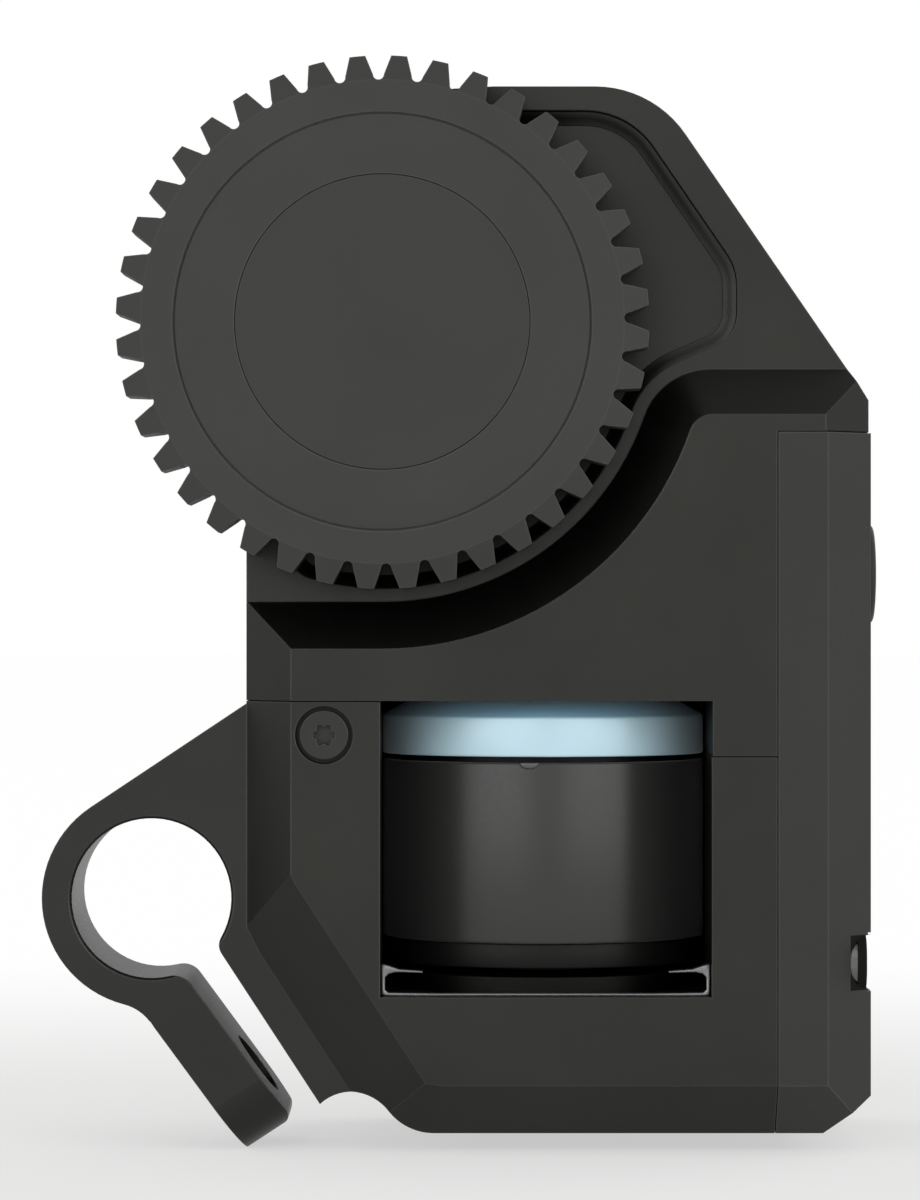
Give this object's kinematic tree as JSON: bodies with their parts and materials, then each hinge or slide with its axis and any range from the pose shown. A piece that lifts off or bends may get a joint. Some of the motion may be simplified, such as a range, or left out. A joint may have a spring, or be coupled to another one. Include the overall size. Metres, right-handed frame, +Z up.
{
  "type": "follow focus unit",
  "caption": "Motorised follow focus unit: a housing with a split rod clamp, a rotor in a front window, a toothed drive gear, a side button and a port.",
  "frame": {"origin": "centre of the rod clamp's bore, half way along it", "axes": "+Y along the rod, away from the drive gear's face; +Z up the housing from the clamp's side to the gear's end; +X from the rod to the body"},
  "size_m": [0.0538, 0.0276, 0.0695],
  "materials": {
    "housing": "matte anodised",
    "side_cover": "matte",
    "rear_cover": "matte anodised",
    "gear": "matte",
    "gear_cap": "matte",
    "steel": "turned",
    "brass": "machined",
    "bearing": "polished",
    "mount": "turned",
    "laminations": "laminated",
    "windings": "enamelled copper",
    "can": "satin black",
    "ring": "satin anodised light blue",
    "magnets": "plated",
    "black_screws": "black oxide",
    "board": "green solder mask",
    "socket": "nickel plated",
    "switch_body": "matte",
    "plunger": "matte",
    "button": "matte"
  },
  "bodies": {
    "housing": {"gearbox_housing": "housing", "clamp_housing": "housing", "side_cover": "side_cover", "rear_cover": "rear_cover", "output_bearings": "bearing", "layshaft_bearings": "bearing", "motor_mount": "mount", "motor_bearings": "bearing", "stator_core": "laminations", "stator_windings": "windings", "motor_screws": "steel", "housing_screws": "black_screws", "rear_cover_screws": "black_screws", "side_cover_screws": "black_screws", "circuit_board": "board", "usb_socket": "socket", "push_switch": "switch_body"},
    "drive": {"drive_gear": "gear", "gear_cap": "gear_cap", "gear_screw": "steel", "output_shaft": "steel", "output_wheel": "brass", "retaining_ring": "bearing"},
    "intermediate": {"layshaft": "steel", "layshaft_pinion": "brass", "crown_wheel": "brass"},
    "rotor": {"rotor_can": "can", "rotor_ring": "ring", "rotor_magnets": "magnets", "motor_shaft": "steel", "motor_pinion": "brass"},
    "button": {"side_button": "button", "switch_plunger": "plunger"}
  },
  "joints": [
    {"name": "drive_spin", "type": "hinge", "parent": "housing", "child": "drive", "pos_m": [0.01483, 0, 0.03654], "axis": [0, 1, 0], "continuous": true},
    {"name": "layshaft_spin", "type": "hinge", "parent": "housing", "child": "intermediate", "pos_m": [0.02515, 0, 0.02708], "axis": [0, 1, 0], "continuous": true},
    {"name": "rotor_spin", "type": "hinge", "parent": "housing", "child": "rotor", "pos_m": [0.02515, 0.0036, 0], "axis": [0, 0, 1], "continuous": true},
    {"name": "button_press", "type": "slide", "parent": "housing", "child": "button", "axis": [-1, 0, 0], "range_m": [0, 0.0003], "stiffness_N_per_m": 1500, "springref_m": -0.0004}
  ],
  "couplings": [
    {"joint": "layshaft_spin", "follows": "drive_spin", "ratio": -3},
    {"joint": "rotor_spin", "follows": "drive_spin", "ratio": -6}
  ]
}
